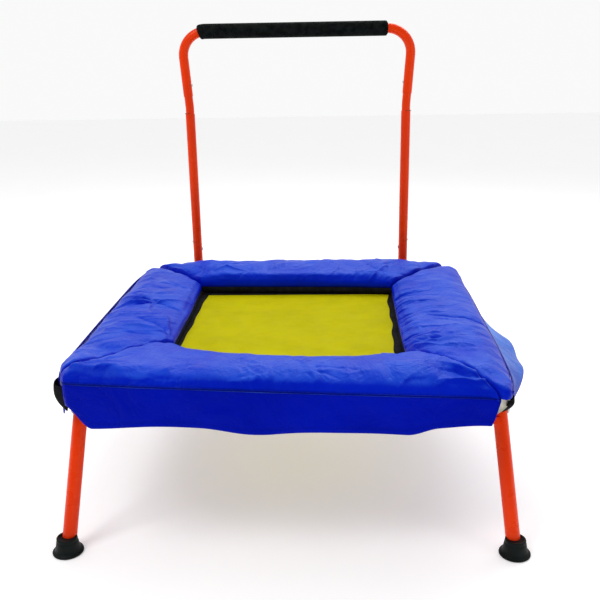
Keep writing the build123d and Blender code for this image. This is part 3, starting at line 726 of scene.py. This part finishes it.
def binding(name, line, lift):
    """The dark turned strip along a pad's inner lower edge, which closes the view under the pad."""
    path = curve(line, int(np.linalg.norm(np.diff(np.array(line, float), axis=0), axis=1).sum() / 0.005))
    along = np.gradient(path, axis=0)
    along /= np.linalg.norm(along, axis=1)[:, None]
    back = np.stack([along[:, 1], -along[:, 0]], 1)
    rings = []
    for offset, z in ((-0.001, 0.3035 + lift), (-0.0035, 0.3010 + lift), (-0.0030, 0.2974), (0.0, 0.2966),
                      (0.009, 0.2966), (0.010, 0.2976), (0.010, 0.3035 + lift)):
        rings.append(np.concatenate([path + offset * back, np.full((len(path), 1), z)], 1))
    rings = np.array(rings).transpose(1, 0, 2)
    faces = grid_faces(len(path), 7, False, True)
    faces += [tuple(range(7))[::-1], tuple(range((len(path) - 1) * 7, len(path) * 7))]
    obj = build(name, [(rings, faces, 0)], [CLOTH])
    return obj


for side, spec in PADS.items():
    strip = binding(f"{side}_cover_binding", spec["inner"], spec.get("lift", 0))
    if side in ("front", "rear"):
        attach(strip, f"{side}_frame")
    else:
        across_fold(strip)


# ---------------------------------------------------------------- jumping mat
def mat_edges(y):
    """Left and right edges of the yellow sheet at a distance y from the fold."""
    ripple = 0.0016 * np.sin(y * 61 + 0.7) + 0.0014 * np.sin(y * 27 + 1)
    return -0.2195 + 0.016 * y + 0.6 * ripple, 0.2055 + 0.032 * y + ripple


def bounce(obj):
    """Bakes the mat piece's placement into its mesh and reads its points."""
    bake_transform(obj)
    co = coords(obj)


for half, sign in (("rear", 1), ("front", -1)):
    count = 60
    y = sign * np.concatenate([[0.00003, 0.0006], np.linspace(0.004, MAT_DEPTH, count - 2)])
    left, right = mat_edges(y)
    share = np.linspace(0, 1, 116)
    x = left[:, None] + (right - left)[:, None] * share
    grid_y = y[:, None] + 0 * x
    z = MAT_TOP - 0.0013 + 0.0003 * waves(x, grid_y, 0.09, 71)
    faces = grid_faces(count, 116)
    if sign < 0:
        faces = [f[::-1] for f in faces]
    sheet = build(f"{half}_mat_sheet", [(np.stack([x, grid_y, z], 2), faces, 0)], [YELLOW])
    thicken(sheet, 0.0011)
    bounce(sheet)
    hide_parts(f"{half}_mat")

    outer_y = sign * np.concatenate([[0.00003, 0.0006], np.linspace(0.004, MAT_EDGE, count - 2)])
    left, right = mat_edges(outer_y)
    depth = np.array([0.0, 0.25, 0.5, 0.75, 1.0])
    parts = []
    for edge, limit in ((left, -MAT_EDGE), (right, MAT_EDGE)):
        inner_x = edge + 0.004 * np.sign(-limit)
        bx = inner_x[:, None] + (limit - inner_x)[:, None] * depth
        by = outer_y[:, None] + 0 * bx
        bz = MAT_TOP - 0.0006 + 0.0002 * waves(bx, by, 0.03, 72)
        parts.append((np.stack([bx, by, bz], 2), grid_faces(count, 5), 0))
    bx = np.linspace(-MAT_EDGE, MAT_EDGE, 100)[:, None] + 0 * depth
    by = sign * (BORDER_START + (MAT_EDGE - BORDER_START) * depth)[None] + 0 * bx
    bz = MAT_TOP - 0.0005 + 0.0002 * waves(bx, by, 0.03, 73)
    parts.append((np.stack([bx, by, bz], 2), grid_faces(100, 5), 0))
    band = build(f"{half}_mat_border", parts, [CLOTH])
    thicken(band, 0.0012)
    bounce(band)
    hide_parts(f"{half}_mat_band")


def coil(start, outward):
    """A close-wound tension spring with a hook at each end, running from the mat's ring to the rail."""
    across = np.array((-outward[1], outward[0], 0.0))
    axis = np.array((outward[0], outward[1], 0.0))
    turns = np.linspace(0, 2 * math.pi * 24, 24 * 12)
    length = np.linspace(0.0105, 0.0700, len(turns))
    body = (np.outer(length, axis) + 0.0043 * np.outer(np.cos(turns), across)
            + 0.0043 * np.outer(np.sin(turns), (0, 0, 1)))
    near = np.array([axis * 0.0035, axis * 0.0,
                     axis * 0.0045 + (0, 0, 0.0022), axis * 0.0085 + (0, 0, 0.0030)])
    far = np.array([axis * 0.0740, axis * 0.0860 - (0, 0, 0.0030)])
    return swept(np.vstack([near, body, far]) + np.array(start), 0.0009, 6)


def ring(centre, outward):
    """A wire triangle sewn into the border, with its point towards the spring."""
    axis, across = np.array((outward[0], outward[1], 0.0)), np.array((-outward[1], outward[0], 0.0))
    corners = [across * 0.0115 - axis * 0.0080, axis * 0.0060 + across * 0.0018,
               axis * 0.0060 - across * 0.0018,
               -across * 0.0115 - axis * 0.0080, across * 0.0115 - axis * 0.0080]
    path = np.vstack([np.linspace(a, b, 10, endpoint=False) for a, b in zip(corners[:-1], corners[1:])])
    path = (np.roll(path, 1, 0) + 2 * path + np.roll(path, -1, 0)) / 4
    return swept(path + np.array(centre), 0.0013, 8, closed=True)


for half, sign in (("rear", 1), ("front", -1)):
    spots = [((x, sign * 0.2475), (0.0, sign)) for x in (-0.200, -0.120, -0.040, 0.040, 0.120, 0.200)]
    spots += [((side * 0.2475, sign * y), (side, 0.0)) for side in (-1, 1) for y in (0.066, 0.132, 0.198)]
    level = MAT_TOP - 0.0038
    for kind, maker, node in (("coils", coil, "mat_springs"), ("wire_rings", ring, "mat_rings")):
        hardware = build(f"{half}_mat_{kind}", [maker((*place, level), out) for place, out in spots], [ZINC])
        bounce(hardware)
        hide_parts(f"{half}_{node}")


# ---------------------------------------------------------------- feet
FOOT = [(0.0005, 0.0), (0.0262, 0.0), (0.0271, 0.0006), (0.0273, 0.0018), (0.0271, 0.0030), (0.0262, 0.0037),
        (0.0240, 0.0043), (0.0222, 0.0062), (0.0210, 0.0100), (0.0202, 0.0150), (0.0194, 0.0200),
        (0.0188, 0.0230),
        (0.0180, 0.0240), (0.0182, 0.0252), (0.0181, 0.0285), (0.0175, 0.0297), (0.0162, 0.0302),
        (0.0146, 0.0299),
        (0.0138, 0.0288)]
for end in ("rear", "front"):
    for side in ("left", "right"):
        low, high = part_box(f"{end}_{side}_foot")
        centre = ((low.x + high.x) / 2, (low.y + high.y) / 2 - FOLD.y, low.z)
        foot = build(f"{end}_{side}_foot_cup", [lathe(FOOT, centre)], [RUBBER])
        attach(foot, f"{end}_{side}_leg")
        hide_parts(f"{end}_{side}_foot")


# ---------------------------------------------------------------- foam grip
GRIP_RADIUS = 0.0170
GRIP_ROUNDING = 0.006
GRIP_END_STEP = 0.0050
BAR_BEND = 0.055
GRIP_RIGHT, GRIP_BEND_START = 0.213, -0.212
grip_low, grip_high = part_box("foam_grip")
grip_y = (grip_low.y + grip_high.y) / 2 - FOLD.y
grip_z = grip_high.z - GRIP_RADIUS
bend = np.radians(np.linspace(0, 18, 14))[1:]
grip_x = np.concatenate([np.linspace(GRIP_RIGHT, GRIP_BEND_START, 150),
                         GRIP_BEND_START - BAR_BEND * np.sin(bend)])
drop_z = np.concatenate([np.zeros(150), BAR_BEND * (1 - np.cos(bend))])
grip_path = np.stack([grip_x, grip_y + 0 * grip_x, grip_z - drop_z], 1)
grip_run = np.concatenate([[0], np.cumsum(np.linalg.norm(np.diff(grip_path, axis=0), axis=1))])
to_end = np.clip(np.minimum(grip_run, grip_run[-1] - grip_run) / GRIP_ROUNDING, 0, 1)
grip_taper = GRIP_RADIUS - GRIP_END_STEP * (1 - np.sqrt(1 - (1 - to_end) ** 2))
grip = build("handle_foam_grip", [swept(grip_path, grip_taper, 40)], [FOAM])
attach(grip, "handle")
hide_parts("foam_grip")


# ---------------------------------------------------------------- handle joints
# Dark orange rings where the posts enter their sockets and at the neck's shoulder: a painted shadow in these
# seams.
def painted_joint_shadow():
    n = Nodes("orange_paint_in_the_joints", 0.5)
    n.colour(n.ramp(n.noise(60, 3), [(0.3, (0.10, 0.008, 0.001)), (0.7, (0.16, 0.012, 0.002))]))
    return n.material


JOINT_SHADOW_PAINT = painted_joint_shadow()
SOCKET_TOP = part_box("left_handle_socket")[1].z
NECK_START = 0.7000
for side in ("left", "right"):
    low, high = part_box(f"{side}_post")
    middle = ((low.x + high.x) / 2, (low.y + high.y) / 2 - FOLD.y)
    turn = np.linspace(0, 2 * math.pi, 48, endpoint=False)
    parts = []
    for level, radius in ((SOCKET_TOP + 0.0003, 0.01112), (NECK_START, 0.01035)):
        across, deep = middle[0] + radius * np.cos(turn), middle[1] + radius * np.sin(turn)
        path = np.stack([across, deep, level + 0 * turn], 1)
        parts.append(swept(path, 0.0005, 8, closed=True))
    line = build(f"{side}_post_joint_lines", parts, [JOINT_SHADOW_PAINT])
    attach(line, "handle")


# ---------------------------------------------------------------- stage, light and camera
def stage_material(name, colour):
    n = Nodes(name, 0.85, Specular_IOR_Level=0.2)
    n.colour(n.ramp(n.noise(3, 2), [(0.3, colour), (0.7, tuple(0.985 * c for c in colour))]))
    return n.material


pale = stage_material("pale_floor", (0.90, 0.90, 0.90))
pale.node_tree.nodes["Principled BSDF"].inputs["Emission Color"].default_value = (1, 1, 1, 1)
pale.node_tree.nodes["Principled BSDF"].inputs["Emission Strength"].default_value = 0.30
floor_corners = np.array([(-9, -9, 0), (9, -9, 0), (9, 9, 0), (-9, 9, 0)])
floor = build("studio_floor", [(floor_corners, [(0, 1, 2, 3)], 0)], [pale])
floor.location.z = -0.0006


def area_light(name, place, aim, size, power):
    data = bpy.data.lights.new(name, "AREA")
    data.shape = "RECTANGLE"
    data.size, data.size_y = size
    data.energy = power
    light = bpy.data.objects.new(name, data)
    light.location = place
    light.rotation_euler = (Vector(aim) - Vector(place)).to_track_quat("-Z", "Y").to_euler()
    bpy.context.scene.collection.objects.link(light)


area_light("key_light", (-1.5, -1.3, 2.7), (0, 0, 0.3), (1.2, 1.2), 34)
area_light("back_light", (0.7, 1.5, 2.3), (0, 0, 0.3), (2.2, 1.2), 34)
area_light("fill_light", (2.2, -1.6, 1.2), (0, 0, 0.4), (1.0, 1.6), 8)
world = bpy.data.worlds.new("studio")
world.use_nodes = True
sky = world.node_tree
place = sky.nodes.new("ShaderNodeTexCoord")
axes = sky.nodes.new("ShaderNodeSeparateXYZ")
sky.links.new(place.outputs["Generated"], axes.inputs["Vector"])
fade = sky.nodes.new("ShaderNodeMapRange")
fade.inputs["From Min"].default_value = -0.6
fade.inputs["From Max"].default_value = 0.5
fade.inputs["To Min"].default_value = 0.34
fade.inputs["To Max"].default_value = 0.95
sky.links.new(axes.outputs["Y"], fade.inputs["Value"])
sky.links.new(fade.outputs["Result"], sky.nodes["Background"].inputs["Strength"])
sky.nodes["Background"].inputs["Color"].default_value = (1, 1, 1, 1)
bpy.context.scene.world = world
bpy.context.scene.view_settings.view_transform = "Standard"

CAMERA_PLACE = (0.0721, -1.5567 + FOLD.y, 0.8456)
LENS_MM = 47.76
YAW, PITCH, ROLL = math.radians(-2.166), math.radians(17.547), math.radians(-1.007)
forward = Vector((math.sin(YAW) * math.cos(PITCH), math.cos(YAW) * math.cos(PITCH), -math.sin(PITCH)))
right = Vector((math.cos(YAW), -math.sin(YAW), 0))
up = right.cross(forward)
right, up = right * math.cos(ROLL) + up * math.sin(ROLL), up * math.cos(ROLL) - right * math.sin(ROLL)
camera_data = bpy.data.cameras.new("photo_camera")
camera_data.sensor_width = 36
camera_data.lens = LENS_MM
camera = bpy.data.objects.new("photo_camera", camera_data)
facing = Matrix((right, up, -forward)).transposed().to_4x4()
camera.matrix_world = Matrix.Translation(CAMERA_PLACE) @ facing
bpy.context.scene.collection.objects.link(camera)
bpy.context.scene.camera = camera
